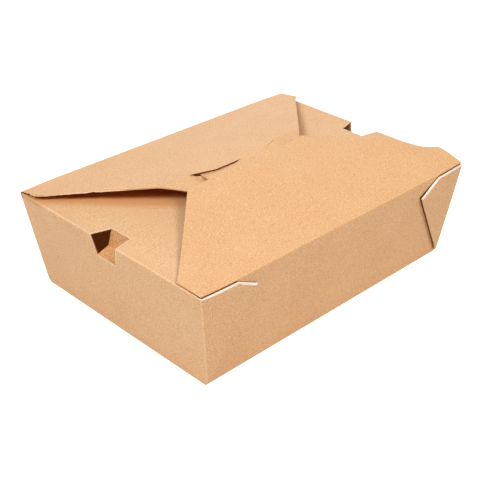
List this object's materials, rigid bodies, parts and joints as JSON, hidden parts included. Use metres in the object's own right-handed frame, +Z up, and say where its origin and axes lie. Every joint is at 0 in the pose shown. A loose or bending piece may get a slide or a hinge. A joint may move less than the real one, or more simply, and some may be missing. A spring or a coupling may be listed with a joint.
{
  "type": "takeaway box",
  "caption": "Rectangular folded takeaway box of brown fluted board, closed: sloping walls, doubled corner webs, end flaps with pop-in notches and a lid flap whose tab tucks into a slit.",
  "frame": {"origin": "centre of the base, on the surface that the box stands on", "axes": "+X along the long side, left to right; +Y from the front fold, where the hinged flap is, to the back; +Z up"},
  "size_m": [0.2162, 0.1588, 0.0744],
  "materials": {
    "kraft_board": "uncoated brown kraft, fine flutes showing, pale cut edges",
    "kraft_board_warm": "uncoated brown kraft, fine flutes showing, pale cut edges"
  },
  "bodies": {
    "carton": {"carton": "kraft_board"},
    "front_flap": {"front_flap": "kraft_board_warm", "tuck_tab": "kraft_board_warm"}
  },
  "joints": [
    {"name": "front_flap_hinge", "type": "hinge", "parent": "carton", "child": "front_flap", "pos_m": [0, -0.07765, 0.06265], "axis": [1, 0, 0], "range_deg": [0, 180], "deforming": ["tuck_tab"]}
  ]
}
